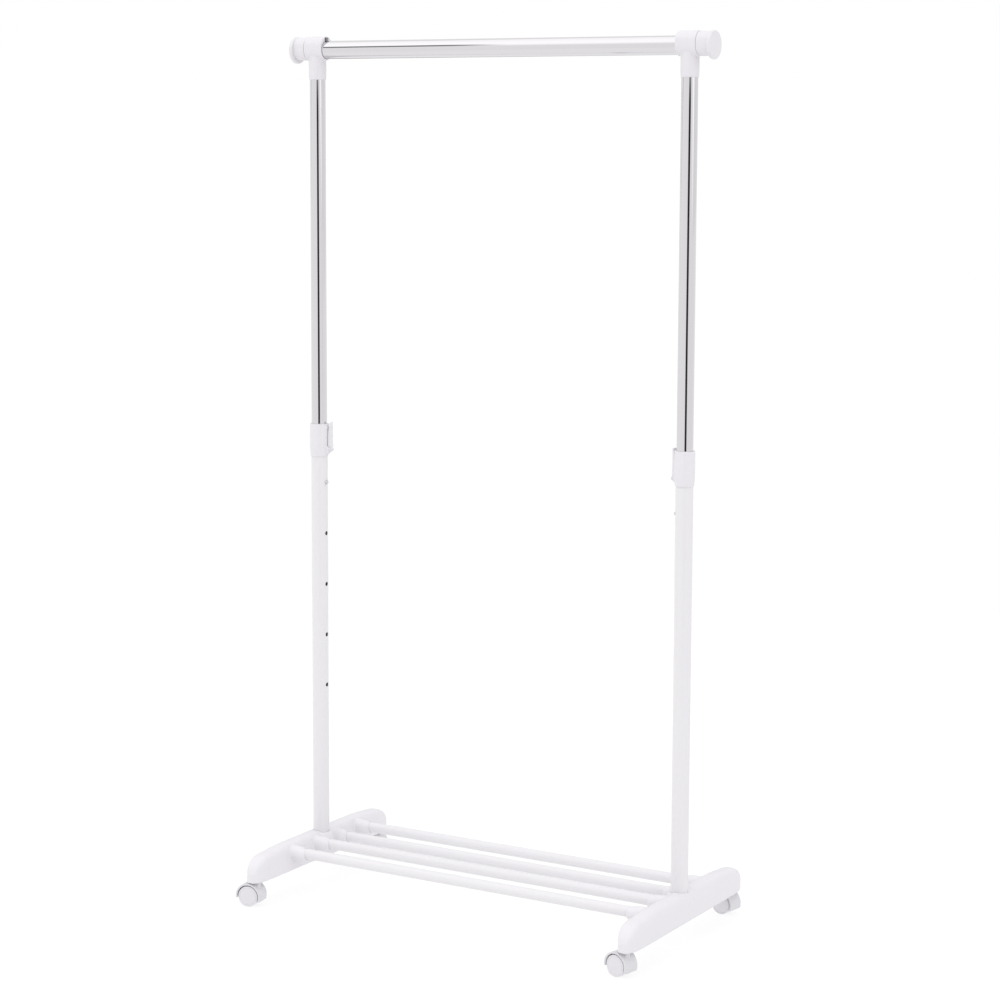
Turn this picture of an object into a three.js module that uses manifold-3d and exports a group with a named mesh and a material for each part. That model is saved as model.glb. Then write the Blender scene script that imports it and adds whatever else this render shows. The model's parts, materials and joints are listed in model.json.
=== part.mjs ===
// Height-adjustable garment rail on twin-wheel casters: two moulded feet joined by four shelf
// bars, telescoping uprights with snap buttons and flip-lever collars, and a hanging rail whose
// ends draw out. Millimetres, +Z up, origin on the floor midway between the uprights.
import * as THREE from "three";
import { mergeVertices } from "three/addons/utils/BufferGeometryUtils.js";
import Module from "manifold-3d";

const wasm = await Module();
wasm.setup();

// ---- driving dimensions -------------------------------------------------------------------
const HALF_SPAN = 375; // upright axis to the middle of the object
const RAIL_Z = 1540; // hanging rail axis, at the highest setting
const GAP = 0.3; // clearance between fitted pieces
const SEGMENTS = 24; // facets around the tubes

const RAIL_R = 16;
const RAIL_WALL = 1.2;
const RAIL_HALF = HALF_SPAN + 37;
const ROD_R = 14; // draw-out rods inside the rail
const ROD_WALL = 1.2;
const ROD_INNER_END = 12; // rod's inner end, from the middle of the object
const CAP_R = 24.2;
const CAP_FACE = 46.5; // cap's outer face, outboard of the upright axis
const CAP_THICK = 6;
const SKIRT_R = 18.3; // oval sleeve of the cap, around the rail's end
const SKIRT_RISE = 4.8;
const SKIRT_END = -18.5;

const UPPER_R = 14; // upper (inner) upright tube
const UPPER_WALL = 1.2;
const UPPER_BOTTOM = 702;
const LOWER_R = 15; // lower (outer) upright tube
const LOWER_WALL = 0.8;
const LOWER_BOTTOM = 58;
const LOWER_TOP = 855.5;

const BUTTON_Z = 753; // snap button and highest hole
const HOLE_PITCH = 95;
const HOLE_COUNT = 5;
const HOLE_R = 3.9;
const BUTTON_R = 3.6;
const BUTTON_TIP = 18.4; // button's end, from the upright axis
const CLIP_BACK = 5.9; // spring's outboard leg, clear of the tube by more than the button's travel

const COLLAR_R = 17.4;
const COLLAR_BOTTOM = 801.5;
const COLLAR_TAPER_TOP = 818;
const COLLAR_TOP = 861.5;
const PIVOT_X = 21.6; // lever pivot, inboard of the upright axis
const PIVOT_Z = 813;
const LEVER_TOP = 864.5;
const LEVER_HALF_WIDTH = 5;
const EAR_WIDTH = 1.8; // ears of the collar on both sides of the lever
const COLLAR_TURN = 16; // degrees, how far each collar is turned on its tube towards the rear

const TEE_STEM_R = 15.8;
const TEE_BOTTOM = 1487;
const TEE_BARREL_R = 18.6; // the barrel is an upright oval: the rail lies in its lower half
const TEE_BARREL_RISE = 5.6;
const TEE_POCKET_RISE = 22.2; // pocket over the rail, open at the inboard mouth, above RAIL_Z
const TEE_POCKET_HALF = 6;
const TEE_OUTBOARD = -18;
const TEE_INBOARD = 20;

const FOOT_BOTTOM = 44.8;
const FOOT_TOP = 95;
const NOSE_DROP = 5; // crest falls this much from the shelf towards each nose
const FOOT_HALF = 219; // foot length / 2
const FOOT_HALF_WIDTH = 18;
const FOOT_SHIFT = 5; // foot stands this far outboard of the upright axis
const FOOT_NOSE = 40; // length of the rounded nose
const FOOT_WALL = 3;
const HUB_R = 22;
const PAD_DROP = 1; // flat pad under the hub stands below the foot's underside

const BAR_R = 9.5;
const BAR_WALL = 1.2;
const BAR_Z = 79;
const BAR_YS = [-106, -29.5, 29.5, 106];
const BAR_END = 2; // bar's end, inboard of the upright axis
const SOCKET_END = 43; // tapered sockets reach this far inboard

const CASTER_Y = 201; // swivel axis, from the upright axis
const CASTER_SHIFT = 3; // swivel axis, outboard of the upright axis
const CASTER_TRAIL = 12; // wheel axle behind the swivel axis
const WHEEL_R = 18.8;
const WHEEL_WIDTH = 9.5;
// how far each caster is turned at rest
const SWIVEL_DEG = { front_left: 10, front_right: -14, rear_left: 10, rear_right: -10 };
const WEB_HALF = 5; // half thickness of the hood's middle web
const FENDER_R = 24;
const FENDER_GAP = 2;
const STEM_R = 3.8;
const STEM_TOP = 74;

// ---- materials ----------------------------------------------------------------------------
const material = (color, roughness, metalness) =>
  new THREE.MeshStandardMaterial({ color, roughness, metalness });
const whitePaint = material(0xebe9ee, 0.35, 0);
const whitePlastic = material(0xedecf0, 0.4, 0);
const chrome = material(0xd9d9dc, 0.08, 1);
const steel = material(0xb9bbc0, 0.3, 1);
const hoodGrey = material(0xd3d2d7, 0.35, 0);
const wheelWhite = material(0xdedde2, 0.4, 0);

// ---- geometry helpers ---------------------------------------------------------------------
// A closed three.js geometry as a solid, with faces turned to point outwards.
function toSolid(geometry) {
  const bare = geometry.clone();
  for (const name of Object.keys(bare.attributes)) {
    if (name !== "position") bare.deleteAttribute(name);
  }
  const merged = mergeVertices(bare, 1e-4);
  const p = merged.attributes.position;
  const index = merged.index.array;
  const faces = [];
  let volume = 0;
  const a = new THREE.Vector3();
  const b = new THREE.Vector3();
  const c = new THREE.Vector3();
  for (let i = 0; i < index.length; i += 3) {
    const [u, v, w] = [index[i], index[i + 1], index[i + 2]];
    if (u === v || v === w || w === u) continue;
    faces.push([u, v, w]);
    a.fromBufferAttribute(p, u);
    b.fromBufferAttribute(p, v);
    c.fromBufferAttribute(p, w);
    volume += a.dot(b.cross(c));
  }
  const turned = volume < 0 ? faces.map(([u, v, w]) => [u, w, v]) : faces;
  const mesh = new wasm.Mesh({
    numProp: 3,
    vertProperties: new Float32Array(p.array),
    triVerts: new Uint32Array(turned.flat()),
  });
  return new wasm.Manifold(mesh);
}

function toGeometry(solid) {
  const mesh = solid.getMesh();
  const geometry = new THREE.BufferGeometry();
  geometry.setAttribute("position", new THREE.BufferAttribute(mesh.vertProperties, 3));
  geometry.setIndex(new THREE.BufferAttribute(mesh.triVerts, 1));
  geometry.computeVertexNormals();
  return geometry;
}

const AXIS_TURN = { x: [0, 0, -Math.PI / 2], y: [0, 0, 0], z: [Math.PI / 2, 0, 0] };

// Turned solid about an axis; the profile is [radius, distance along the axis] pairs.
function turned(profile, axis = "z", at = [0, 0, 0], segments = SEGMENTS) {
  const points = profile.map(([r, h]) => new THREE.Vector2(r, h));
  if (profile[0][0] > 0) points.push(points[0].clone());
  const geometry = new THREE.LatheGeometry(points, segments);
  const [rx, ry, rz] = AXIS_TURN[axis];
  geometry.applyMatrix4(new THREE.Matrix4().makeRotationFromEuler(new THREE.Euler(rx, ry, rz)));
  geometry.translate(...at);
  return toSolid(geometry);
}

const rod = (r, from, to, axis = "z", at = [0, 0, 0], segments = SEGMENTS) =>
  turned([[0, from], [r, from], [r, to], [0, to]], axis, at, segments);

const tube = (outer, inner, from, to, axis = "z", at = [0, 0, 0], segments = SEGMENTS) =>
  turned([[inner, from], [outer, from], [outer, to], [inner, to]], axis, at, segments);

const box = (x0, x1, y0, y1, z0, z1) => {
  const geometry = new THREE.BoxGeometry(x1 - x0, y1 - y0, z1 - z0);
  geometry.translate((x0 + x1) / 2, (y0 + y1) / 2, (z0 + z1) / 2);
  return toSolid(geometry);
};

// Outline in X and Z, extruded along Y from -half to +half.
function plate(shape, half, curveSegments = 16) {
  const geometry = new THREE.ExtrudeGeometry(shape, {
    depth: 2 * half,
    bevelEnabled: false,
    curveSegments,
  });
  geometry.rotateX(Math.PI / 2);
  geometry.translate(0, half, 0);
  return toSolid(geometry);
}

// Skin over a row of equal-length closed outlines, closed by a fan at each end.
function loft(rings) {
  const count = rings[0].length;
  const positions = rings.flat(2);
  const faces = [];
  for (let i = 0; i + 1 < rings.length; i++) {
    for (let k = 0; k < count; k++) {
      const a = i * count + k;
      const b = i * count + ((k + 1) % count);
      faces.push(a, b, b + count, a, b + count, a + count);
    }
  }
  for (const [i, reversed] of [[0, true], [rings.length - 1, false]]) {
    const middle = positions.length / 3;
    for (let d = 0; d < 3; d++) {
      positions.push(rings[i].reduce((sum, q) => sum + q[d], 0) / count);
    }
    for (let k = 0; k < count; k++) {
      const a = i * count + k;
      const b = i * count + ((k + 1) % count);
      faces.push(...(reversed ? [middle, b, a] : [middle, a, b]));
    }
  }
  const geometry = new THREE.BufferGeometry();
  geometry.setAttribute("position", new THREE.Float32BufferAttribute(positions, 3));
  geometry.setIndex(faces);
  return toSolid(geometry);
}

const unite = (...solids) => solids.reduce((whole, piece) => whole.add(piece));
const cut = (whole, ...pieces) => pieces.reduce((rest, piece) => rest.subtract(piece), whole);

// ---- feet ---------------------------------------------------------------------------------
function footHalfWidth(y) {
  const t = Math.max(0, (Math.abs(y) - (FOOT_HALF - 52)) / 53);
  return FOOT_HALF_WIDTH * Math.pow(1 - Math.pow(t, 2.6), 1 / 2.6);
}

function footTop(y) {
  const t = Math.max(0, (Math.abs(y) - (FOOT_HALF - FOOT_NOSE)) / (FOOT_NOSE + 2));
  const crest = FOOT_TOP - NOSE_DROP * THREE.MathUtils.smoothstep(Math.abs(y), 110, 200);
  return FOOT_BOTTOM + (crest - FOOT_BOTTOM) * Math.pow(1 - Math.pow(t, 2.2), 1 / 2.2);
}

// Cross-section of the foot: flat underside, straight flanks, crowned top.
function footRing(y, inset, bottom, steps = 6) {
  const w = footHalfWidth(y) - inset;
  const top = footTop(y) - inset;
  const shoulder = FOOT_BOTTOM + 0.55 * (top - FOOT_BOTTOM);
  const chamfer = Math.min(1, w * 0.3);
  const ring = [[w - chamfer, y, bottom], [w, y, bottom + chamfer]];
  for (let k = 0; k <= steps; k++) {
    const a = (Math.PI * k) / steps;
    const c = Math.cos(a);
    const x = w * Math.sign(c) * Math.pow(Math.abs(c), 0.62);
    ring.push([x, y, shoulder + (top - shoulder) * Math.pow(Math.abs(Math.sin(a)), 0.62)]);
  }
  ring.push([-w, y, bottom + chamfer], [-(w - chamfer), y, bottom]);
  return ring.map(([x, along, z]) => [x - FOOT_SHIFT, along, z]);
}

// Rings spaced closely around the nose and widely along the body.
function footStations() {
  const nose = [0, 0.4, 0.68, 0.86, 0.96, 1];
  const outer = nose.map((t) => FOOT_HALF - FOOT_NOSE * (1 - t));
  const inner = [0, 85, 115];
  const half = [...inner, ...outer];
  return [...half.slice(1).reverse().map((y) => -y), ...half];
}

function barSocket(y) {
  const profile = [[0, 0], [15, 0], [13.4, 30], [11, SOCKET_END], [0, SOCKET_END]];
  return turned(profile, "x", [0, y, BAR_Z - 2], 16);
}

// Local frame of each side: origin under the upright axis, +X pointing inboard.
function makeFoot() {
  const skin = loft(footStations().map((y) => footRing(y, 0, FOOT_BOTTOM)));
  const hub = turned(
    [[0, FOOT_BOTTOM - PAD_DROP], [14, FOOT_BOTTOM - PAD_DROP], [HUB_R, FOOT_BOTTOM],
      [HUB_R + 2, 78], [HUB_R, 86], [18.4, 92], [0, 92]],
  );
  const pad = box(-12, 12, -40, 40, FOOT_BOTTOM - PAD_DROP, FOOT_BOTTOM + 2);
  const sockets = BAR_YS.map((y) => barSocket(y));
  let foot = unite(skin, hub, pad, ...sockets);
  for (const end of [-1, 1]) {
    const stations = [52, 85, 145, 176].map((y) => y * end);
    const pocket = loft(stations.map((y) => footRing(y, FOOT_WALL, FOOT_BOTTOM - 6, 4)));
    const ribs = unite(
      rod(13.5, -30, 30, "x", [0, 105 * end, BAR_Z - 2], 16),
      box(-30, 30, 105 * end - 1.5, 105 * end + 1.5, FOOT_BOTTOM, BAR_Z),
    );
    foot = cut(foot, pocket.subtract(ribs));
  }
  const seat = rod(LOWER_R + GAP, LOWER_BOTTOM - 0.5, 120);
  const boltHole = rod(4.3, 40, 60, "z", [0, 0, 0], 12);
  const boltRecess = rod(8, 40, 53, "z", [0, 0, 0], 12);
  const barHoles = BAR_YS.map((y) =>
    rod(BAR_R + GAP, BAR_END - 0.5, 60, "x", [0, y, BAR_Z], 16));
  const stemHoles = [-1, 1].map((end) =>
    rod(STEM_R + GAP, 40, STEM_TOP + 1, "z", [-CASTER_SHIFT, CASTER_Y * end, 0], 12));
  return cut(foot, seat, boltHole, boltRecess, ...barHoles, ...stemHoles);
}

// ---- uprights -----------------------------------------------------------------------------
function makeLowerTube() {
  const holes = [];
  for (let i = 0; i < HOLE_COUNT; i++) {
    holes.push(rod(HOLE_R, 8, 20, "x", [0, 0, BUTTON_Z - i * HOLE_PITCH], 10));
  }
  return cut(tube(LOWER_R, LOWER_R - LOWER_WALL, LOWER_BOTTOM, LOWER_TOP), ...holes);
}

function makeUpperTube() {
  const wall = tube(UPPER_R, UPPER_R - UPPER_WALL, UPPER_BOTTOM, RAIL_Z - RAIL_R - 1.5);
  return cut(wall, rod(HOLE_R, 8, 20, "x", [0, 0, BUTTON_Z], 10));
}

// Plastic bush in the upper tube's lower end, running inside the lower tube.
function makeBush() {
  const lip = LOWER_R - LOWER_WALL - GAP;
  const plug = UPPER_R - UPPER_WALL - GAP;
  const z = UPPER_BOTTOM - GAP;
  return turned([[9, z - 8], [lip, z - 8], [lip, z], [plug, z], [plug, z + 16], [9, z + 16]]);
}

// V-shaped leaf spring across the upper tube, with the snap button on its inboard leg.
function makeSnapClip() {
  const [low, knee, bend] = [BUTTON_Z - 12, BUTTON_Z + 8, BUTTON_Z + 52];
  const shape = new THREE.Shape();
  shape.moveTo(11, low);
  shape.lineTo(11.8, low);
  shape.lineTo(11.8, knee);
  shape.lineTo(2.4, bend);
  shape.absarc(0, bend, 2.4, 0, Math.PI, false);
  shape.lineTo(-CLIP_BACK, knee);
  shape.lineTo(-CLIP_BACK, low);
  shape.lineTo(0.8 - CLIP_BACK, low);
  shape.lineTo(0.8 - CLIP_BACK, knee);
  shape.lineTo(-1.6, bend);
  shape.absarc(0, bend, 1.6, Math.PI, 0, true);
  shape.lineTo(11, knee);
  shape.closePath();
  const button = turned(
    [[0, 11.2], [BUTTON_R, 11.2], [BUTTON_R, BUTTON_TIP - 1.8], [BUTTON_R - 0.8, BUTTON_TIP - 0.5],
      [BUTTON_R - 2, BUTTON_TIP], [0, BUTTON_TIP]],
    "x", [0, 0, BUTTON_Z], 10,
  );
  return unite(plate(shape, 3.5, 4), button);
}

function makeInsert() {
  const r = LOWER_R - LOWER_WALL - GAP;
  return turned([[4.3, LOWER_BOTTOM + GAP], [r, LOWER_BOTTOM + GAP], [r, 78], [4.3, 78]]);
}

// Bolt from the hub's underside, up into the insert.
function makeBolt() {
  return turned(
    [[0, 49], [6.5, 49], [7, 49.6], [7, 52.7], [4, 52.7], [4, 75], [3, 76], [0, 76]],
    "z", [0, 0, 0], 12,
  );
}

// ---- clamp collar and flip lever ----------------------------------------------------------
function makeCollar() {
  const bore = LOWER_R + GAP;
  const shoulder = LOWER_TOP + GAP;
  const sleeve = turned([
    [bore, COLLAR_BOTTOM], [16.2, COLLAR_BOTTOM], [COLLAR_R, COLLAR_TAPER_TOP], [COLLAR_R, COLLAR_TOP - 1.5],
    [COLLAR_R - 1.5, COLLAR_TOP], [UPPER_R + GAP, COLLAR_TOP], [UPPER_R + GAP, shoulder],
    [bore, shoulder],
  ]);
  const lug = new THREE.Shape();
  lug.moveTo(14.8, PIVOT_Z - 9);
  lug.lineTo(PIVOT_X, PIVOT_Z - 3.8);
  lug.absarc(PIVOT_X, PIVOT_Z, 3.8, -Math.PI / 2, Math.PI / 2, false);
  lug.lineTo(14.8, PIVOT_Z + 9);
  lug.closePath();
  const gapHalf = LEVER_HALF_WIDTH + GAP + 0.1;
  const ears = cut(
    plate(lug, gapHalf + EAR_WIDTH, 4),
    box(COLLAR_R - 0.05, 40, -gapHalf, gapHalf, PIVOT_Z - 30, PIVOT_Z + 30),
    rod(LOWER_R + 0.6, PIVOT_Z - 30, PIVOT_Z + 30),
  );
  const pinHole = rod(2.3, -12, 12, "y", [PIVOT_X, 0, PIVOT_Z], 12);
  return cut(unite(sleeve, ears), pinHole);
}

function makeLever() {
  const eye = 3.8;
  const shape = new THREE.Shape();
  shape.moveTo(PIVOT_X, PIVOT_Z - eye);
  shape.absarc(PIVOT_X, PIVOT_Z, eye, -Math.PI / 2, 0, false);
  shape.lineTo(24.6, PIVOT_Z + 29);
  shape.lineTo(24.8, LEVER_TOP - 1.5);
  shape.lineTo(24, LEVER_TOP);
  shape.lineTo(22, LEVER_TOP);
  shape.lineTo(17.8, PIVOT_Z + 32);
  shape.lineTo(PIVOT_X - eye, PIVOT_Z + 4);
  shape.lineTo(PIVOT_X - eye, PIVOT_Z);
  shape.absarc(PIVOT_X, PIVOT_Z, eye, Math.PI, Math.PI * 1.5, false);
  const pinHole = rod(2.3, -12, 12, "y", [PIVOT_X, 0, PIVOT_Z], 12);
  return cut(plate(shape, LEVER_HALF_WIDTH, 5), pinHole);
}

const makeLeverPin = () => {
  const half = LEVER_HALF_WIDTH + GAP + 0.1 + EAR_WIDTH;
  return rod(2, -half, half, "y", [PIVOT_X, 0, PIVOT_Z], 12);
};

// ---- top: tees, rail, draw-out rods, caps --------------------------------------------------
// Upright oval outline across the rail, from the lower radius's centre up by the rise.
function ovalAlongX(radius, rise, start, end) {
  const shape = new THREE.Shape();
  shape.absarc(0, RAIL_Z, radius, Math.PI, 2 * Math.PI, false);
  shape.lineTo(radius, RAIL_Z + rise);
  shape.absarc(0, RAIL_Z + rise, radius, 0, Math.PI, false);
  shape.closePath();
  return plate(shape, (end - start) / 2, 6).rotate([0, 0, 90])
    .translate([(start + end) / 2, 0, 0]);
}

function makeTee() {
  const stem = turned([[0, TEE_BOTTOM], [15.2, TEE_BOTTOM], [TEE_STEM_R, TEE_BOTTOM + 8],
    [TEE_STEM_R, RAIL_Z], [0, RAIL_Z]]);
  return cut(
    unite(ovalAlongX(TEE_BARREL_R, TEE_BARREL_RISE, TEE_OUTBOARD, TEE_INBOARD), stem),
    box(-10, 40, -TEE_POCKET_HALF, TEE_POCKET_HALF, RAIL_Z, RAIL_Z + TEE_POCKET_RISE),
    rod(RAIL_R + GAP, -40, 40, "x", [0, 0, RAIL_Z]),
    rod(UPPER_R + GAP, TEE_BOTTOM - 10, RAIL_Z - 8),
  );
}

const makeRail = () =>
  tube(RAIL_R, RAIL_R - RAIL_WALL, -RAIL_HALF, RAIL_HALF, "x", [0, 0, RAIL_Z]);

function makeRod() {
  const outerEnd = -(CAP_FACE - CAP_THICK - GAP);
  return tube(ROD_R, ROD_R - ROD_WALL, outerEnd, HALF_SPAN - ROD_INNER_END,
    "x", [0, 0, RAIL_Z]);
}

function makeEndCap() {
  const plug = ROD_R - ROD_WALL - GAP;
  const inner = -(CAP_FACE - CAP_THICK);
  const disc = turned(
    [[0, -CAP_FACE], [CAP_R - 2.5, -CAP_FACE], [CAP_R - 0.6, 1 - CAP_FACE],
      [CAP_R, 2.4 - CAP_FACE], [CAP_R - 1, inner], [plug, inner], [plug, inner + 26],
      [0, inner + 26]],
    "x", [0, 0, RAIL_Z],
  );
  const sleeve = cut(ovalAlongX(SKIRT_R, SKIRT_RISE, inner - 1, SKIRT_END),
    rod(RAIL_R + GAP, inner - 2, 0, "x", [0, 0, RAIL_Z]));
  return unite(disc, sleeve);
}

// ---- casters: origin on the floor under the swivel axis, axle trailing towards -X ----------
function makeStem() {
  return turned(
    [[0, 29], [STEM_R, 29], [STEM_R, STEM_TOP - 1], [STEM_R - 1, STEM_TOP], [0, STEM_TOP]],
    "z", [0, 0, 0], 12,
  );
}

function makeHood() {
  const ax = -CASTER_TRAIL;
  const half = WEB_HALF + GAP + WHEEL_WIDTH + 0.5;
  const arc = (r0, r1, from, to) => {
    const shape = new THREE.Shape();
    shape.absarc(ax, WHEEL_R, r1, from, to, false);
    shape.absarc(ax, WHEEL_R, r0, to, from, true);
    shape.closePath();
    return shape;
  };
  const fender = plate(arc(WHEEL_R + FENDER_GAP, FENDER_R, -0.4, 3.3), half, 6);
  const web = plate(arc(8, FENDER_R, -0.2, 3.3), WEB_HALF, 5);
  const hub = rod(9, -WEB_HALF, WEB_HALF, "y", [ax, 0, WHEEL_R], 12);
  const post = cut(rod(6.8, 22, FOOT_BOTTOM - 0.5, "z", [0, 0, 0], 12),
    box(-20, 20, WEB_HALF, 20, 0, 43.4), box(-20, 20, -20, -WEB_HALF, 0, 43.4));
  return cut(
    unite(fender, web, hub, post),
    rod(STEM_R + GAP, 28.5, 60, "z", [0, 0, 0], 12),
    rod(2.8, -20, 20, "y", [ax, 0, WHEEL_R], 12),
  );
}

const makeAxle = () =>
  rod(2.5, -(WEB_HALF + GAP + WHEEL_WIDTH - 3), WEB_HALF + GAP + WHEEL_WIDTH - 3, "y",
    [-CASTER_TRAIL, 0, WHEEL_R], 12);

// One wheel of a pair: blind axle bore on its inner side, dished outer face.
function makeWheel(side) {
  const inner = WEB_HALF + GAP;
  const outer = inner + WHEEL_WIDTH;
  const profile = [
    [2.8, inner], [8, inner], [8, inner + 1.5], [WHEEL_R - 4, inner + 1.5],
    [WHEEL_R, inner + 0.5], [WHEEL_R, outer - 0.9], [WHEEL_R - 0.9, outer - 0.1],
    [0, outer], [0, outer - 2.7], [2.8, outer - 2.7],
  ];
  const wheel = turned(profile.map(([r, h]) => [r, h * side]), "y", [0, 0, 0], 20);
  return wheel.translate([-CASTER_TRAIL, 0, WHEEL_R]);
}

// ---- assembly -----------------------------------------------------------------------------
const garmentRail = new THREE.Group();

function place(group, name, solid, look) {
  const mesh = new THREE.Mesh(toGeometry(solid), look);
  mesh.name = name;
  group.add(mesh);
}

for (const [side, name] of [[-1, "left"], [1, "right"]]) {
  const half = new THREE.Group();
  half.position.x = side * HALF_SPAN;
  half.rotation.z = side > 0 ? Math.PI : 0;
  const turn = -side * COLLAR_TURN;
  place(half, `foot_${name}`, makeFoot(), whitePlastic);
  place(half, `tube_insert_${name}`, makeInsert(), steel);
  place(half, `foot_bolt_${name}`, makeBolt(), steel);
  place(half, `lower_tube_${name}`, makeLowerTube(), whitePaint);
  place(half, `upper_tube_${name}`, makeUpperTube(), chrome);
  place(half, `guide_bush_${name}`, makeBush(), whitePlastic);
  place(half, `snap_clip_${name}`, makeSnapClip(), steel);
  place(half, `collar_${name}`, makeCollar().rotate([0, 0, turn]), whitePlastic);
  place(half, `lever_${name}`, makeLever().rotate([0, 0, turn]), whitePlastic);
  place(half, `lever_pin_${name}`, makeLeverPin().rotate([0, 0, turn]), whitePlastic);
  place(half, `tee_${name}`, makeTee(), whitePlastic);
  place(half, `extension_rod_${name}`, makeRod(), chrome);
  place(half, `end_cap_${name}`, makeEndCap(), whitePlastic);
  garmentRail.add(half);
}

place(garmentRail, "hanging_rail", makeRail(), chrome);

BAR_YS.forEach((y, i) => {
  const end = HALF_SPAN - BAR_END;
  const bar = tube(BAR_R, BAR_R - BAR_WALL, -end, end, "x", [0, y, BAR_Z]);
  place(garmentRail, `shelf_bar_${i + 1}`, bar, whitePaint);
});

for (const [xName, fx] of [["left", -1], ["right", 1]]) {
  for (const [yName, fy] of [["front", -1], ["rear", 1]]) {
    const caster = new THREE.Group();
    const tag = `${yName}_${xName}`;
    caster.position.set(fx * (HALF_SPAN + CASTER_SHIFT), fy * CASTER_Y, 0);
    caster.rotation.z = THREE.MathUtils.degToRad(SWIVEL_DEG[tag]);
    place(caster, `caster_stem_${tag}`, makeStem(), steel);
    place(caster, `caster_hood_${tag}`, makeHood(), hoodGrey);
    place(caster, `caster_axle_${tag}`, makeAxle(), steel);
    place(caster, `wheel_a_${tag}`, makeWheel(-1), wheelWhite);
    place(caster, `wheel_b_${tag}`, makeWheel(1), wheelWhite);
    garmentRail.add(caster);
  }
}

export default garmentRail;
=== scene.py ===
import json
import math

import bmesh
import bpy
from mathutils import Matrix, Vector


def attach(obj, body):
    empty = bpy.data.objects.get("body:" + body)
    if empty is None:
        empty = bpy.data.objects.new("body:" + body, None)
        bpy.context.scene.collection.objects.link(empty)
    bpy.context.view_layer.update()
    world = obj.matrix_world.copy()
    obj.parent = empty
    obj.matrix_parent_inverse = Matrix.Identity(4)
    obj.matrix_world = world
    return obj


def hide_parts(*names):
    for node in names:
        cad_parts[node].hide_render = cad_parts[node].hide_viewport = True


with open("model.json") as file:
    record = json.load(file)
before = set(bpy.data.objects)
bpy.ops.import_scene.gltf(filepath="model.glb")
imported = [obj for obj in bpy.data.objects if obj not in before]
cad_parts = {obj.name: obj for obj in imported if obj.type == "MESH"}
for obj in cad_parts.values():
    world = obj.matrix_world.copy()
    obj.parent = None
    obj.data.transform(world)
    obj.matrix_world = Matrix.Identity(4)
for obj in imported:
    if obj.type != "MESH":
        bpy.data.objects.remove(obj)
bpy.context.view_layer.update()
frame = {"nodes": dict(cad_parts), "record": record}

# ---- dimensions in millimetres, the same as in the CAD ---------------------------------------
MM = 0.001
HALF_SPAN = 375  # upright axis to the middle of the object
RAIL_Z = 1540  # hanging rail axis, at the highest setting
GAP = 0.3  # clearance between fitted pieces
HOLE_PLAY = 0.5  # blind holes are this much deeper than what stands in them
ROUND = 96  # steps around a turned piece
SOFT_ANGLE = 40  # degrees, moulded pieces are shaded smooth up to this

RAIL_R = 16
RAIL_WALL = 1.2
RAIL_HALF = HALF_SPAN + 37
ROD_R = 14  # draw-out rods inside the rail
ROD_WALL = 1.2
ROD_INNER_END = 12  # rod's inner end, from the middle of the object
CAP_R = 24.2
CAP_FACE = 46.5  # cap's outer face, outboard of the upright axis
CAP_THICK = 6
CAP_PLUG = 26  # length of the cap's plug in the rod
SKIRT_R = 18.3  # oval sleeve of the cap, around the rail's end
SKIRT_RISE = 4.8
SKIRT_END = -18.5

UPPER_R = 14  # upper (inner) upright tube
UPPER_WALL = 1.2
UPPER_BOTTOM = 702
UPPER_TOP = RAIL_Z - RAIL_R - 1.5
LOWER_R = 15  # lower (outer) upright tube
LOWER_WALL = 0.8
LOWER_BOTTOM = 58
LOWER_TOP = 855.5
BUTTON_Z = 753  # snap button and highest hole
HOLE_PITCH = 95
HOLE_COUNT = 5
HOLE_R = 3.9

COLLAR_R = 17.4
COLLAR_FOOT_R = 16.2  # at the lower end of its taper
COLLAR_BOTTOM = 801.5
COLLAR_TAPER_TOP = 818
COLLAR_TOP = 861.5
COLLAR_TURN = 16  # degrees, how far each collar is turned on its tube towards the rear
PIVOT_X = 21.6  # lever pivot, inboard of the upright axis
PIVOT_Z = 813
PIN_HOLE_R = 2.3
EYE_R = 3.8  # round end of the lever and of the ears, about the pivot
EAR_WIDTH = 1.8  # ears of the collar on both sides of the lever
EAR_GAP = GAP + 0.1  # between the lever and each ear
EAR_ROOT_X = 14.8
EAR_ROOT_HALF = 9  # half height of an ear where it meets the sleeve
LEVER_TOP = 864.5
LEVER_FRONT_X = 24.8  # face and back of the blade at its top
LEVER_BACK_X = 22
LEVER_BELLY_X = 17.8  # where the blade comes closest to the sleeve
LEVER_HALF_WIDTH = 5

TEE_R = 18.6  # the barrel is an upright oval: the rail lies in its lower half
TEE_RISE = 5.6
TEE_OUTBOARD = -18
TEE_INBOARD = 20
TEE_STEM_R = 15.8
TEE_MOUTH_R = 15.3  # lower edge of the stem
TEE_BOTTOM = 1487
TEE_SEAT_TOP = RAIL_Z - 8  # end of the upper tube's seat
POCKET_OUTBOARD = -10  # pocket over the rail, open at the inboard mouth
POCKET_RISE = 22.2
POCKET_HALF = 6

FOOT_BOTTOM = 44.8
FOOT_TOP = 95
FOOT_HALF = 219  # foot length / 2
FOOT_HALF_WIDTH = 18
FOOT_SHIFT = 5  # foot stands this far outboard of the upright axis
FOOT_TAPER = 52  # length over which the flanks close at each end
FOOT_NOSE = 40  # length of the rounded nose
NOSE_DROP = 5  # crest falls this much towards each nose
DROP_START = 110
DROP_END = 200
FLANK_CURVE = 2.6  # exponents of the foot's outlines from above, from the side and across
CREST_CURVE = 2.2
CROWN_CURVE = 0.62
SHOULDER = 0.55  # height where the flank turns into the crown, as a share of the foot's
FOOT_WALL = 3
POCKET_YS = (52, 85, 145, 176)  # rings of the hollow under each half of the foot
RIB_Y = 105  # rib and boss across the hollow
RIB_HALF = 1.5
RIB_BOSS_R = 13.5
HUB_R = 22
HUB_TOP = 92
HUB_TOP_R = 18.4
PAD_R = 14  # flat pad under the hub stands below the foot's underside
PAD_HALF_WIDTH = 12
PAD_HALF_LENGTH = 40
PAD_DROP = 1
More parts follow.
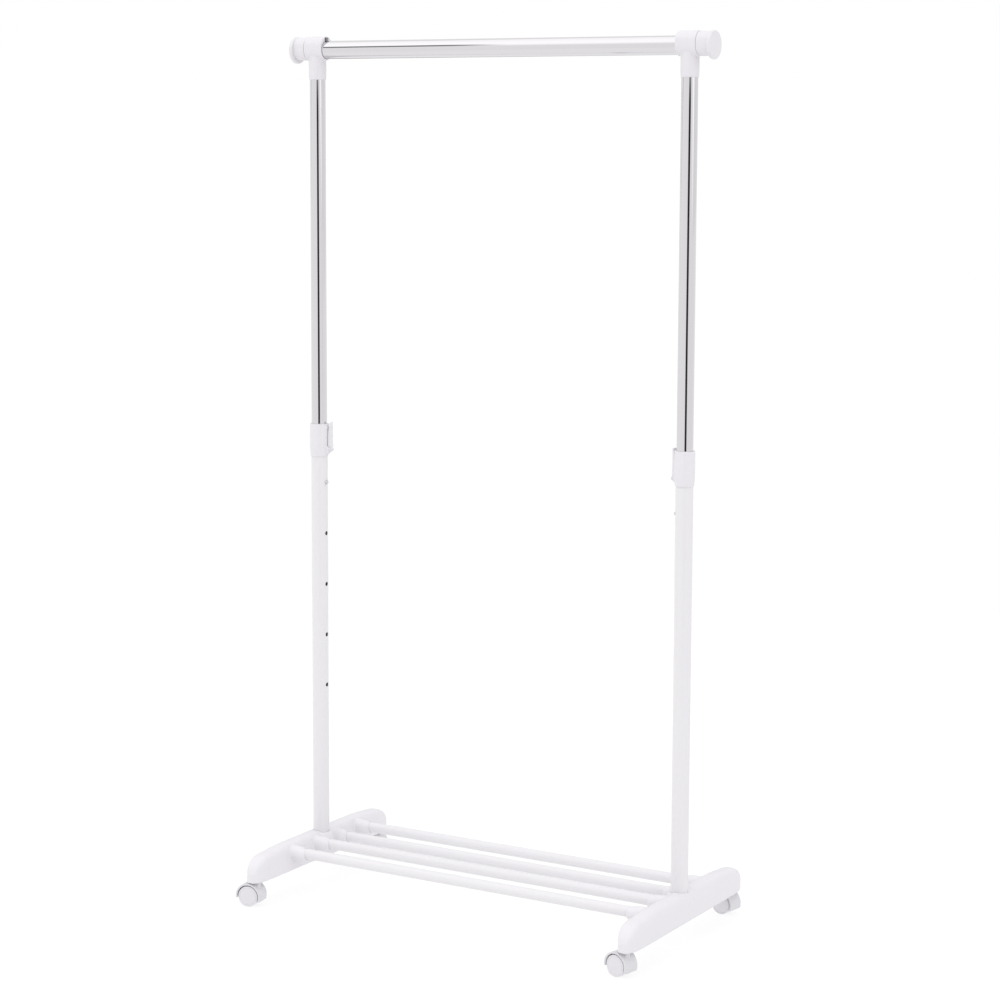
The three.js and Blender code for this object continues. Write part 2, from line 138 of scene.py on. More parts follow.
BOLT_HEAD_HOLE_R = 8
BOLT_HEAD_TOP = 53
BOLT_HOLE_R = 4.3

BAR_R = 9.5
BAR_WALL = 1.2
BAR_Z = 79
BAR_YS = (-106, -29.5, 29.5, 106)
BAR_END = 2  # bar's end, inboard of the upright axis
SOCKET_ROOT_R = 15
SOCKET_MOUTH_R = 11
SOCKET_END = 43  # tapered sockets reach this far inboard
SOCKET_DROP = 2  # sockets' axis below the bars'

CASTER_Y = 201  # swivel axis, from the upright axis
CASTER_SHIFT = 3  # swivel axis, outboard of the upright axis
CASTER_TRAIL = 12  # wheel axle behind the swivel axis
AXLE_X = -CASTER_TRAIL
AXLE_HOLE_R = 2.8
WHEEL_R = 18.8
WHEEL_WIDTH = 9.5
WHEEL_BOSS_R = 8  # boss around the axle on the inner face, and the dish outside it
WHEEL_DISH = 1.5
WHEEL_COVER = 2.7  # thickness of the closed outer face over the axle's end
WEB_HALF = 5  # half thickness of the hood's middle web
WEB_INNER_R = 8
WEB_START = -0.2  # radians around the axle, from +X over the top
FENDER_R = 24
FENDER_GAP = 2
FENDER_START = -0.4
FENDER_END = 3.3
POST_R = 6.8
POST_BOTTOM = 22
POST_FLATS_TOP = 43.4  # below this the post is as thin as the web
STEM_R = 3.8
STEM_BOTTOM = 29
STEM_TOP = 74
# how far each caster is turned at rest
SWIVEL_DEG = {"front_left": 10, "front_right": -14, "rear_left": 10, "rear_right": -10}


# ---- mesh helpers ----------------------------------------------------------------------------
def rounded(points, closed=False, steps=4):
    """The outline with its corners rounded. A point's third number, if any, is its radius."""
    out = []
    for i, point in enumerate(points):
        p = Vector(point[:2])
        r = point[2] if len(point) > 2 else 0
        if r <= 0 or (not closed and i in (0, len(points) - 1)):
            out.append(p)
            continue
        a = Vector(points[i - 1][:2]) - p
        b = Vector(points[(i + 1) % len(points)][:2]) - p
        reach = min(r / math.tan(a.angle(b) / 2 + 1e-9), 0.45 * a.length, 0.45 * b.length)
        start, end = p + a.normalized() * reach, p + b.normalized() * reach
        for k in range(steps + 1):
            t = k / steps
            out.append(start * (1 - t) ** 2 + p * 2 * t * (1 - t) + end * t * t)
    return out


def to_mesh(bm, name):
    """The bmesh as a mesh, with doubled points merged and its faces turned outwards."""
    bmesh.ops.remove_doubles(bm, verts=bm.verts, dist=1e-7)
    bmesh.ops.recalc_face_normals(bm, faces=bm.faces)
    mesh = bpy.data.meshes.new(name)
    bm.to_mesh(mesh)
    bm.free()
    return mesh


def lathe(profile, axis="z", at=(0, 0, 0), steps=ROUND):
    """Turned body from (radius, distance along the axis) pairs."""
    bm = bmesh.new()
    rings = []
    for r, h in profile:
        ring = []
        for k in range(steps if r > 1e-6 else 1):
            a = 2 * math.pi * k / steps
            u, v = r * math.cos(a), r * math.sin(a)
            p = {"x": (h, u, v), "y": (v, h, u), "z": (u, v, h)}[axis]
            ring.append(bm.verts.new([(p[i] + at[i]) * MM for i in range(3)]))
        rings.append(ring)
    pairs = list(zip(rings, rings[1:]))
    if profile[0][0] > 1e-6:
        pairs.append((rings[-1], rings[0]))
    for a, b in pairs:
        for k in range(steps):
            j = (k + 1) % steps
            if len(a) == 1 and len(b) > 1:
                bm.faces.new((a[0], b[j], b[k]))
            elif len(b) == 1 and len(a) > 1:
                bm.faces.new((a[k], a[j], b[0]))
            elif len(a) > 1:
                bm.faces.new((a[k], a[j], b[j], b[k]))
    return to_mesh(bm, "turned")


def rod(radius, low, high, axis="z", at=(0, 0, 0), steps=ROUND):
    """Plain round bar between two distances along its axis."""
    return lathe([(0, low), (radius, low), (radius, high), (0, high)], axis, at, steps)


def tube(outer, wall, low, high, axis="z", at=(0, 0, 0)):
    """Round tube with its four edges broken."""
    inner = outer - wall
    profile = [(inner, low, 0.25), (outer, low, 0.4), (outer, high, 0.4), (inner, high, 0.25)]
    return lathe(rounded(profile, closed=True, steps=3), axis, at)


def prism(outline, axis, low, high, bevel=0.0):
    """Outline extruded along an axis. Along X the outline is (y, z), along Y it is (x, z)."""
    bm = bmesh.new()
    rims = []
    for h in (low, high):
        points = [(h, a, b) if axis == "x" else (a, h, b) for a, b in outline]
        rims.append([bm.verts.new([c * MM for c in p]) for p in points])
    for k in range(len(outline)):
        j = (k + 1) % len(outline)
        bm.faces.new((rims[0][k], rims[0][j], rims[1][j], rims[1][k]))
    ends = [bm.faces.new(rims[0]), bm.faces.new(rims[1])]
    if bevel:
        bmesh.ops.recalc_face_normals(bm, faces=bm.faces)
        edges = list({e for f in ends for e in f.edges})
        bmesh.ops.bevel(bm, geom=edges, offset=bevel * MM, segments=3, profile=0.5,
                        affect="EDGES", clamp_overlap=True)
    return to_mesh(bm, "prism")


def block(x0, x1, y0, y1, z0, z1):
    return prism([(y0, z0), (y1, z0), (y1, z1), (y0, z1)], "x", x0, x1)


def loft(rings):
    """Skin over a row of equal-length closed outlines, closed by a face at each end."""
    bm = bmesh.new()
    rows = [[bm.verts.new([c * MM for c in p]) for p in ring] for ring in rings]
    for a, b in zip(rows, rows[1:]):
        for k in range(len(a)):
            j = (k + 1) % len(a)
            bm.faces.new((a[k], a[j], b[j], b[k]))
    bm.faces.new(rows[0])
    bm.faces.new(rows[-1])
    return to_mesh(bm, "loft")


def arc(centre, radius, start, end, steps):
    """Points around a centre, angles in radians."""
    angles = [start + (end - start) * k / steps for k in range(steps + 1)]
    return [(centre[0] + radius * math.cos(a), centre[1] + radius * math.sin(a)) for a in angles]


def working(mesh):
    obj = bpy.data.objects.new("working", mesh)
    bpy.context.scene.collection.objects.link(obj)
    return obj


def applied(obj, *others):
    """The object's mesh with its modifiers applied. The working objects are removed."""
    bpy.context.view_layer.update()
    graph = bpy.context.evaluated_depsgraph_get()
    mesh = bpy.data.meshes.new_from_object(obj.evaluated_get(graph), depsgraph=graph)
    for o in (obj, *others):
        bpy.data.objects.remove(o)
    return mesh


def joined(*meshes):
    """One mesh that holds all of them, not merged."""
    bm = bmesh.new()
    for mesh in meshes:
        bm.from_mesh(mesh)
    mesh = bpy.data.meshes.new("joined")
    bm.to_mesh(mesh)
    bm.free()
    return mesh


def boolean(mesh, other, operation):
    a, b = working(mesh), working(other)
    modifier = a.modifiers.new("boolean", "BOOLEAN")
    modifier.operation, modifier.object, modifier.solver = operation, b, "EXACT"
    return applied(a, b)


def unite(first, *others):
    for other in others:
        first = boolean(first, other, "UNION")
    return first


def carve(mesh, *cutters):
    """Takes out cutters that are clear of each other, all at once."""
    return boolean(mesh, joined(*cutters), "DIFFERENCE")


def carve_in_turn(mesh, *cutters):
    """Takes out cutters that may overlap, one after another."""
    for cutter in cutters:
        mesh = boolean(mesh, cutter, "DIFFERENCE")
    return mesh


def moulded(meshes, voxel, smoothing):
    """Overlapping solids fused into one skin with softened edges and blended joints."""
    obj = working(joined(*meshes))
    skin = obj.modifiers.new("skin", "REMESH")
    skin.mode, skin.voxel_size = "VOXEL", voxel * MM
    soft = obj.modifiers.new("soft", "SMOOTH")
    soft.factor, soft.iterations = 0.5, smoothing
    return applied(obj)


def finished(mesh, angle=32):
    """Cleaned of slivers, and shaded smooth up to the angle in degrees."""
    bm = bmesh.new()
    bm.from_mesh(mesh)
    bmesh.ops.remove_doubles(bm, verts=bm.verts, dist=2e-7)
    bmesh.ops.dissolve_degenerate(bm, edges=bm.edges, dist=1e-7)
    bm.to_mesh(mesh)
    bm.free()
    mesh.shade_smooth()
    mesh.set_sharp_from_angle(angle=math.radians(angle))
    return mesh


# ---- materials -------------------------------------------------------------------------------
RELIEF = 0.0002  # metres, height of the surface relief at full depth
BROAD_GRAIN = 14  # noise scale per metre of the slow change in gloss


def surface(name, color, roughness, metallic, grain, depth, spread):
    """Principled surface whose fine relief and gloss vary with noise fixed to the object.
    grain is the noise scale per metre, depth the relief, spread the change in roughness."""
    material = bpy.data.materials.new(name)
    material.use_nodes = True
    nodes, links = material.node_tree.nodes, material.node_tree.links
    shader = nodes["Principled BSDF"]
    shader.inputs["Base Color"].default_value = (*color, 1)
    shader.inputs["Metallic"].default_value = metallic
    place = nodes.new("ShaderNodeTexCoord")
    fine = nodes.new("ShaderNodeTexNoise")
    fine.inputs["Scale"].default_value = grain
    fine.inputs["Detail"].default_value = 3
    broad = nodes.new("ShaderNodeTexNoise")
    broad.inputs["Scale"].default_value = BROAD_GRAIN
    broad.inputs["Detail"].default_value = 5
    gloss = nodes.new("ShaderNodeMapRange")
    gloss.inputs["From Min"].default_value = 0.3
    gloss.inputs["From Max"].default_value = 0.7
    gloss.inputs["To Min"].default_value = roughness - spread
    gloss.inputs["To Max"].default_value = roughness + spread
    bump = nodes.new("ShaderNodeBump")
    bump.inputs["Strength"].default_value = depth
    bump.inputs["Distance"].default_value = RELIEF
    for noise in (fine, broad):
        links.new(place.outputs["Object"], noise.inputs["Vector"])
    links.new(broad.outputs["Fac"], gloss.inputs["Value"])
    links.new(gloss.outputs["Result"], shader.inputs["Roughness"])
    links.new(fine.outputs["Fac"], bump.inputs["Height"])
    links.new(bump.outputs["Normal"], shader.inputs["Normal"])
    return material


# colour, roughness, metallic, grain, depth, spread
FINISHES = {
    "white_paint": ((0.752, 0.738, 0.762), 0.34, 0, 700, 0.12, 0.05),
    "white_plastic": ((0.75, 0.733, 0.765), 0.42, 0, 1600, 0.10, 0.05),
    "chrome": ((0.705, 0.69, 0.712), 0.05, 1, 90, 0.004, 0.015),
    "steel": ((0.66, 0.66, 0.68), 0.42, 1, 900, 0.08, 0.06),
    # grey_plastic: pale grey hood plastic, set darker than the white plastic partly as painted
    # shade for the shaded wedge of the hood between the wheels
    "grey_plastic": ((0.66, 0.65, 0.68), 0.4, 0, 1400, 0.10, 0.05),
    "wheel_plastic": ((0.70, 0.685, 0.72), 0.42, 0, 1200, 0.10, 0.05),
}
LOOKS = {name: surface(name, *finish) for name, finish in FINISHES.items()}

body_of = {n: b for b, ns in frame["record"]["behaviour"]["bodies"].items() for n in ns}
slot_of = {s["node"]: s["material_slot"] for s in frame["record"]["subparts"]}


def show(name, mesh, node, matrix):
    """The mesh stands for the CAD node, rides on its body and takes its finish."""
    obj = bpy.data.objects.new(name, mesh)
    bpy.context.scene.collection.objects.link(obj)
    obj.matrix_world = matrix
    if not mesh.materials:
        mesh.materials.append(LOOKS[slot_of[node]])
    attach(obj, body_of[node])
    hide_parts(node)


# ---- feet ------------------------------------------------------------------------------------
# The pieces of each side are made in its local frame: origin on the floor under the upright
# axis, +X pointing inboard.
def smoothstep(value, low, high):
    t = min(1, max(0, (value - low) / (high - low)))
    return t * t * (3 - 2 * t)


def foot_ring(y, inset, bottom, steps=24):
    """Cross-section of the foot: flat underside, straight flanks, crowned top."""
    # Both curves end just past the tip, so that the last ring keeps some width and height.
    t = max(0, (abs(y) - (FOOT_HALF - FOOT_TAPER)) / (FOOT_TAPER + 1))
    w = FOOT_HALF_WIDTH * (1 - t**FLANK_CURVE) ** (1 / FLANK_CURVE) - inset
    t = max(0, (abs(y) - (FOOT_HALF - FOOT_NOSE)) / (FOOT_NOSE + 2))
    rise = FOOT_TOP - NOSE_DROP * smoothstep(abs(y), DROP_START, DROP_END) - FOOT_BOTTOM
    top = FOOT_BOTTOM + rise * (1 - t**CREST_CURVE) ** (1 / CREST_CURVE) - inset
    shoulder = FOOT_BOTTOM + SHOULDER * (top - FOOT_BOTTOM)
    chamfer = min(1, w * 0.3)
    ring = [(w - chamfer, bottom), (w, bottom + chamfer)]
    for k in range(steps + 1):
        a = math.pi * k / steps
        c, s = math.cos(a), max(0, math.sin(a))
        x = w * math.copysign(abs(c) ** CROWN_CURVE, c)
        ring.append((x, shoulder + (top - shoulder) * s**CROWN_CURVE))
    ring += [(-w, bottom + chamfer), (chamfer - w, bottom)]
    return [(x - FOOT_SHIFT, y, z) for x, z in ring]


def foot_stations(pitch=12, nose_rings=20):
    """Places of the rings along the foot: even along the body, closer around the noses."""
    body = list(range(0, FOOT_HALF - FOOT_NOSE, pitch))
    nose = [FOOT_HALF - FOOT_NOSE * (1 - math.sin(math.pi / 2 * k / nose_rings))
            for k in range(nose_rings + 1)]
    half = body + nose
    return [-y for y in reversed(half[1:])] + half


def bar_socket(y):
    profile = rounded([(0, 0), (SOCKET_ROOT_R, 0), (14.6, 10), (13.4, 30, 20),
                       (SOCKET_MOUTH_R, SOCKET_END, 2.5), (0, SOCKET_END)])
    return lathe(profile, "x", (0, y, BAR_Z - SOCKET_DROP), steps=64)


def foot_pocket(end):
    """Hollow under the front or rear half of the foot, around its rib and boss."""
    pocket = loft([foot_ring(y * end, FOOT_WALL, FOOT_BOTTOM - 6, steps=12)
                   for y in POCKET_YS])
    y = RIB_Y * end
    boss = rod(RIB_BOSS_R, -30, 30, "x", (0, y, BAR_Z - SOCKET_DROP), steps=48)
    rib = block(-30, 30, y - RIB_HALF, y + RIB_HALF, FOOT_BOTTOM, BAR_Z)
    return carve_in_turn(pocket, boss, rib)


def foot_mesh():
    skin = loft([foot_ring(y, 0, FOOT_BOTTOM) for y in foot_stations()])
    low = FOOT_BOTTOM - PAD_DROP
    hub = lathe(rounded([(0, low), (PAD_R, low), (HUB_R, FOOT_BOTTOM), (HUB_R + 2, 78, 12),
                         (HUB_R, 86, 6), (HUB_TOP_R, HUB_TOP, 1.5), (0, HUB_TOP)]))
    pad = block(-PAD_HALF_WIDTH, PAD_HALF_WIDTH, -PAD_HALF_LENGTH, PAD_HALF_LENGTH,
                low, FOOT_BOTTOM + 2)
    body = moulded([skin, hub, pad] + [bar_socket(y) for y in BAR_YS], voxel=1.1, smoothing=6)
    seat = LOWER_BOTTOM - HOLE_PLAY
    cutters = [lathe([(0, 40), (BOLT_HEAD_HOLE_R, 40), (BOLT_HEAD_HOLE_R, BOLT_HEAD_TOP),
                      (BOLT_HOLE_R, BOLT_HEAD_TOP), (BOLT_HOLE_R, seat),
                      (LOWER_R + GAP, seat), (LOWER_R + GAP, 120), (0, 120)])]
    for y in BAR_YS:
        cutters.append(rod(BAR_R + GAP, BAR_END - HOLE_PLAY, 60, "x", (0, y, BAR_Z), steps=64))
    for end in (-1, 1):
        swivel = (-CASTER_SHIFT, CASTER_Y * end, 0)
        cutters.append(rod(STEM_R + GAP, 40, STEM_TOP + 1, "z", swivel, steps=48))
        cutters.append(foot_pocket(end))
    return finished(carve(body, *cutters), SOFT_ANGLE)


# ---- uprights, collars, levers ---------------------------------------------------------------
def button_hole(z):
    return rod(HOLE_R, UPPER_R - 6, LOWER_R + 5, "x", (0, 0, z), steps=40)


def lower_tube_mesh():
    whole = tube(LOWER_R, LOWER_WALL, LOWER_BOTTOM, LOWER_TOP)
    holes = [button_hole(BUTTON_Z - i * HOLE_PITCH) for i in range(HOLE_COUNT)]
    return finished(carve(whole, *holes))


def upper_tube_mesh():
    whole = tube(UPPER_R, UPPER_WALL, UPPER_BOTTOM, UPPER_TOP)
    return finished(carve(whole, button_hole(BUTTON_Z)))


def pin_hole():
    """Cutter for the lever pin, past the ears on both sides."""
    return rod(PIN_HOLE_R, -12, 12, "y", (PIVOT_X, 0, PIVOT_Z), steps=32)


def half_eye(start):
    """Half circle about the pivot, from the angle in degrees."""
    return arc((PIVOT_X, PIVOT_Z), EYE_R, math.radians(start), math.radians(start + 180),
               steps=15)


def collar_mesh():
    bore, ledge = LOWER_R + GAP, LOWER_TOP + GAP
    sleeve = lathe(rounded([
        (bore, COLLAR_BOTTOM, 0.2), (COLLAR_FOOT_R, COLLAR_BOTTOM, 0.4),
        (COLLAR_R, COLLAR_TAPER_TOP, 20), (COLLAR_R, COLLAR_TOP, 1.8),
        (UPPER_R + GAP, COLLAR_TOP, 0.5), (UPPER_R + GAP, ledge), (bore, ledge)],
        closed=True, steps=5))
    low, high = PIVOT_Z - EAR_ROOT_HALF, PIVOT_Z + EAR_ROOT_HALF
    outline = [(EAR_ROOT_X, low), *half_eye(-90), (EAR_ROOT_X, high)]
    face = COLLAR_R - 0.1
    root_outline = [(EAR_ROOT_X, low), (face, low + 0.8), (face, high - 0.8), (EAR_ROOT_X, high)]
    inner = LEVER_HALF_WIDTH + EAR_GAP
    outer = inner + EAR_WIDTH
    tube_room = rod(LOWER_R + 0.6, PIVOT_Z - 33, PIVOT_Z + 37)
    root = carve(prism(root_outline, "y", -inner - 0.5, inner + 0.5), tube_room)
    ears = [carve(prism(outline, "y", *sorted((s * inner, s * outer)), bevel=0.5), tube_room)
            for s in (-1, 1)]
    return finished(carve(unite(sleeve, root, *ears), pin_hole()))


def lever_mesh():
    """Round eye about the pivot with a blade that stands up along the collar."""
    front = [(PIVOT_X + EYE_R, PIVOT_Z), (LEVER_FRONT_X - 0.2, PIVOT_Z + 29, 15),
             (LEVER_FRONT_X, LEVER_TOP, 1.1)]
    back = [(LEVER_BACK_X, LEVER_TOP, 0.9), (LEVER_BELLY_X, PIVOT_Z + 32, 15),
            (PIVOT_X - EYE_R, PIVOT_Z + 4, 3), (PIVOT_X - EYE_R, PIVOT_Z)]
    blade = rounded(front + back)[1:-1]
    outline = half_eye(180) + [tuple(p) for p in blade]
    whole = prism(outline, "y", -LEVER_HALF_WIDTH, LEVER_HALF_WIDTH, bevel=0.9)
    return finished(carve(whole, pin_hole()))


# ---- tees, rail, draw-out rods, caps ----------------------------------------------------------
RAIL_AXIS = (0, 0, RAIL_Z)


def oval(radius, rise):
    """Upright oval across the rail, from the lower radius's centre up by the rise."""
    under = arc((0, RAIL_Z), radius, math.pi, 2 * math.pi, steps=40)
    over = arc((0, RAIL_Z + rise), radius, 0, math.pi, steps=40)
    return under + over


def tee_mesh():
    barrel = prism(oval(TEE_R, TEE_RISE), "x", TEE_OUTBOARD, TEE_INBOARD, bevel=0.8)
    stem = lathe(rounded([(0, TEE_BOTTOM), (TEE_MOUTH_R, TEE_BOTTOM, 0.6),
                          (TEE_STEM_R, TEE_BOTTOM + 8, 10), (TEE_STEM_R, RAIL_Z), (0, RAIL_Z)]))
    body = moulded([barrel, stem], voxel=0.6, smoothing=5)
    ceiling = RAIL_Z + POCKET_RISE
    pocket_outline = rounded([(-POCKET_HALF, RAIL_Z), (POCKET_HALF, RAIL_Z),
                              (POCKET_HALF, ceiling, 1.5), (-POCKET_HALF, ceiling, 1.5)],
                             closed=True)
    pocket = prism(pocket_outline, "x", POCKET_OUTBOARD, TEE_INBOARD + 30)
    bore = rod(RAIL_R + GAP, -40, 40, "x", RAIL_AXIS)
    seat = rod(UPPER_R + GAP, TEE_BOTTOM - 10, TEE_SEAT_TOP)
    return finished(carve_in_turn(body, pocket, bore, seat), SOFT_ANGLE)


def rail_mesh():
    return finished(tube(RAIL_R, RAIL_WALL, -RAIL_HALF, RAIL_HALF, "x", RAIL_AXIS))


def draw_rod_mesh():
    outer_end = -(CAP_FACE - CAP_THICK - GAP)
    return finished(tube(ROD_R, ROD_WALL, outer_end, HALF_SPAN - ROD_INNER_END, "x", RAIL_AXIS))


def cap_mesh():
    """Disc with a plug in the rod's end, and an oval sleeve around the rail's end."""
    plug, inner = ROD_R - ROD_WALL - GAP, CAP_THICK - CAP_FACE
    disc = lathe(rounded([
        (0, -CAP_FACE), (CAP_R - 0.4, -CAP_FACE, 2.2), (CAP_R, 3 - CAP_FACE, 1.5),
        (CAP_R - 1, inner, 0.8), (plug, inner, 0.2), (plug, inner + CAP_PLUG, 0.8),
        (0, inner + CAP_PLUG)], steps=6), "x", RAIL_AXIS, steps=128)
    sleeve = carve(prism(oval(SKIRT_R, SKIRT_RISE), "x", inner - 1, SKIRT_END, bevel=0.5),
                   rod(RAIL_R + GAP, inner - 2, 0, "x", RAIL_AXIS))
    return finished(unite(disc, sleeve))


# ---- shelf bars ------------------------------------------------------------------------------
def bar_mesh(y):
    end = HALF_SPAN - BAR_END
    return finished(tube(BAR_R, BAR_WALL, -end, end, "x", (0, y, BAR_Z)))


# ---- casters: origin on the floor under the swivel axis, axle trailing towards -X -------------
def sector(inner, outer, start, end):
    """Part of a ring about the axle, angles in radians."""
    axle = (AXLE_X, WHEEL_R)
    return arc(axle, outer, start, end, steps=48) + arc(axle, inner, start, end, steps=48)[::-1]


def hood_mesh():
    """Fender over both wheels, a middle web with the axle's hub, and a post for the stem."""
    half = WEB_HALF + GAP + WHEEL_WIDTH + 0.5
    fender = prism(sector(WHEEL_R + FENDER_GAP, FENDER_R, FENDER_START, FENDER_END),
                   "y", -half, half)
    web = prism(sector(WEB_INNER_R, FENDER_R, WEB_START, FENDER_END), "y", -WEB_HALF, WEB_HALF)
    hub = rod(WEB_INNER_R + 1, -WEB_HALF, WEB_HALF, "y", (AXLE_X, 0, WHEEL_R), steps=64)
    flats = [block(-20, 20, WEB_HALF, 20, 0, POST_FLATS_TOP),
             block(-20, 20, -20, -WEB_HALF, 0, POST_FLATS_TOP)]
    post = carve(rod(POST_R, POST_BOTTOM, FOOT_BOTTOM - 0.5, steps=64), *flats)
    body = moulded([fender, web, hub, post], voxel=0.42, smoothing=1)
    stem_hole = rod(STEM_R + GAP, STEM_BOTTOM - HOLE_PLAY, 60, steps=48)
    axle_hole = rod(AXLE_HOLE_R, -20, 20, "y", (AXLE_X, 0, WHEEL_R), steps=32)
    return finished(carve_in_turn(body, stem_hole, axle_hole), SOFT_ANGLE)


def stem_mesh():
    profile = rounded([(0, STEM_BOTTOM), (STEM_R, STEM_BOTTOM, 0.3), (STEM_R, STEM_TOP, 1),
                       (0, STEM_TOP)])
    return finished(lathe(profile, steps=48))


def wheel_mesh(side):
    """Wheel with a shallow groove inside its tread on the outer face."""
    inner = WEB_HALF + GAP
    outer = inner + WHEEL_WIDTH
    dish, cover = inner + WHEEL_DISH, outer - WHEEL_COVER
    profile = rounded([
        (AXLE_HOLE_R, inner, 0.2), (WHEEL_BOSS_R, inner, 0.3), (WHEEL_BOSS_R, dish, 0.3),
        (WHEEL_R - 4, dish, 0.4), (WHEEL_R, inner + 0.6, 0.8),
        (WHEEL_R, outer - 0.1, 0.7), (WHEEL_R - 2.2, outer - 0.05, 0.3),
        (WHEEL_R - 2.6, outer - 0.6, 0.2), (WHEEL_R - 3.2, outer - 0.6, 0.2),
        (WHEEL_R - 3.6, outer - 0.1, 0.3), (0, outer), (0, cover),
        (AXLE_HOLE_R, cover, 0.2)], closed=True)
    return finished(lathe([(r, h * side) for r, h in profile], "y", (AXLE_X, 0, WHEEL_R)))


# ---- pieces over the CAD nodes ---------------------------------------------------------------
def turn_z(degrees):
    return Matrix.Rotation(math.radians(degrees), 4, "Z")


def side_matrix(side):
    """From a side's local frame to the object's."""
    turn = turn_z(180 if side > 0 else 0)
    return Matrix.Translation((side * HALF_SPAN * MM, 0, 0)) @ turn


side_kinds = {
    "foot": ("foot_shell", foot_mesh()),
    "lower_tube": ("lower_upright", lower_tube_mesh()),
    "upper_tube": ("upper_upright", upper_tube_mesh()),
    "collar": ("clamp_collar", collar_mesh()),
    "lever": ("flip_lever", lever_mesh()),
    "tee": ("tee_fitting", tee_mesh()),
    "extension_rod": ("draw_rod", draw_rod_mesh()),
    "end_cap": ("end_disc", cap_mesh()),
}
for side, tag in ((-1, "left"), (1, "right")):
    for kind, (name, mesh) in side_kinds.items():
        matrix = side_matrix(side)
        if kind in ("collar", "lever"):
            matrix = matrix @ turn_z(-side * COLLAR_TURN)
        show(f"{name}_{tag}", mesh, f"{kind}_{tag}", matrix)

show("rail_tube", rail_mesh(), "hanging_rail", Matrix.Identity(4))
for i, y in enumerate(BAR_YS, 1):
    show(f"shelf_tube_{i}", bar_mesh(y), f"shelf_bar_{i}", Matrix.Identity(4))

caster_kinds = {
    "caster_stem": ("swivel_stem", stem_mesh()),
    "caster_hood": ("twin_hood", hood_mesh()),
    "wheel_a": ("wheel_near", wheel_mesh(-1)),
    "wheel_b": ("wheel_far", wheel_mesh(1)),
}
for y_side, y_tag in ((-1, "front"), (1, "rear")):
    for x_side, x_tag in ((-1, "left"), (1, "right")):
        tag = f"{y_tag}_{x_tag}"
        swivel_x = x_side * (HALF_SPAN + CASTER_SHIFT)
        place = Matrix.Translation((swivel_x * MM, y_side * CASTER_Y * MM, 0))
        place = place @ turn_z(SWIVEL_DEG[tag])
        for kind, (name, mesh) in caster_kinds.items():
            show(f"{name}_{tag}", mesh, f"{kind}_{tag}", place)

# Small inner parts are shown as the CAD has them, with smooth shading over their facets.
for name, node in frame["nodes"].items():
    if node.hide_render:
        continue
    node.data.materials.clear()
    node.data.materials.append(LOOKS[slot_of[name]])
    if "custom_normal" in node.data.attributes:
        node.data.attributes.remove(node.data.attributes["custom_normal"])
    node.data.shade_smooth()
    weld = node.modifiers.new("weld", "WELD")
    weld.merge_threshold = 1e-6
    split = node.modifiers.new("edges", "EDGE_SPLIT")
    split.split_angle = math.radians(35)
    split.use_edge_sharp = False

# ---- floor -----------------------------------------------------------------------------------
FLOOR_R = 3.2  # metres
FLOOR_DROP = 0.0002  # just under the wheels
FLOOR_ALBEDO = 0.18
FLOOR_GLOW = 0.83  # keeps the floor as white as the background


def lay_floor():
    bm = bmesh.new()
    bmesh.ops.create_circle(bm, cap_ends=True, cap_tris=False, segments=128, radius=FLOOR_R)
    mesh = bpy.data.meshes.new("floor")
    bm.to_mesh(mesh)
    bm.free()
    floor = bpy.data.objects.new("floor", mesh)
    floor.location.z = -FLOOR_DROP
    bpy.context.scene.collection.objects.link(floor)
    pale = bpy.data.materials.new("pale_floor")
    pale.use_nodes = True
    shader = pale.node_tree.nodes["Principled BSDF"]
    shader.inputs["Base Color"].default_value = (FLOOR_ALBEDO, FLOOR_ALBEDO, FLOOR_ALBEDO, 1)
    shader.inputs["Roughness"].default_value = 1
    shader.inputs["Specular IOR Level"].default_value = 0
    shader.inputs["Emission Color"].default_value = (1, 1, 1, 1)
    shader.inputs["Emission Strength"].default_value = FLOOR_GLOW
    mesh.materials.append(pale)


lay_floor()

# ---- studio ----------------------------------------------------------------------------------
# Each pair of degrees is where a change begins and where it ends. The rise is 0 at the front
# horizon, 90 overhead and 180 at the back.
FRONT_RISE, FRONT_LIGHT = (14, 46), (0.99, 1.37)
TOP_RISE, TOP_LIGHT = (58, 104), (1.0, 0.94)
BACK_RISE, BACK_LIGHT = (106, 124), (1.0, 0.72)
SIDE_FALL = 0.03  # less light from +X
# The dark flags: two upright strips, opposite each other, and one across the front left.
STRIP_HEADING = 32  # degrees from -Y towards +X, to the near strip's middle
STRIP_FOOT, STRIP_HEAD = (-0.5, -0.4), (0.26, 0.16)  # heights on a sphere of radius 1
NEAR_HALF, NEAR_DARK = (16, 11.5), 0.97
FAR_HALF, FAR_DARK = (19, 14), 0.6
FLAG_RISE, FLAG_HALF, FLAG_DARK = 34, (10.5, 7), 0.8
FLAG_SIDE = (-0.49, -0.565)  # X on a sphere of radius 1


